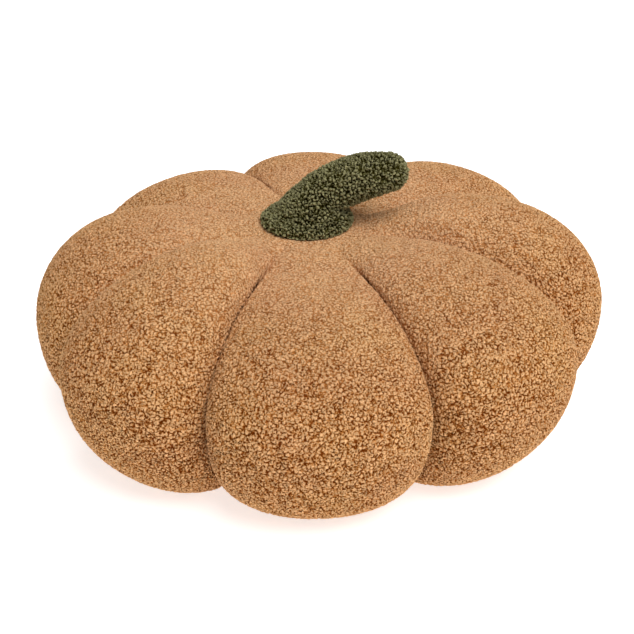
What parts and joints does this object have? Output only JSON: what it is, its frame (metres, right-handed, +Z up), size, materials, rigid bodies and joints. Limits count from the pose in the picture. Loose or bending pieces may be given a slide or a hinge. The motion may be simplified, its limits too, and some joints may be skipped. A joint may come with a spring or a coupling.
{
  "type": "pumpkin cushion",
  "caption": "Low round stuffed cushion of curly teddy cloth, sewn into plump pumpkin lobes, with a leaning stuffed stem on its top.",
  "frame": {"origin": "on the surface it rests on, under the middle of the whole outline", "axes": "+Z up through the thickness; -Y is the front as pictured; the stem leans towards +X"},
  "size_m": [0.4354, 0.4506, 0.2084],
  "materials": {
    "tan_teddy": "curly teddy pile, matt",
    "green_teddy": "curly teddy pile, matt"
  },
  "bodies": {
    "root": {"cushion_body": "tan_teddy", "stem": "green_teddy"}
  },
  "joints": []
}
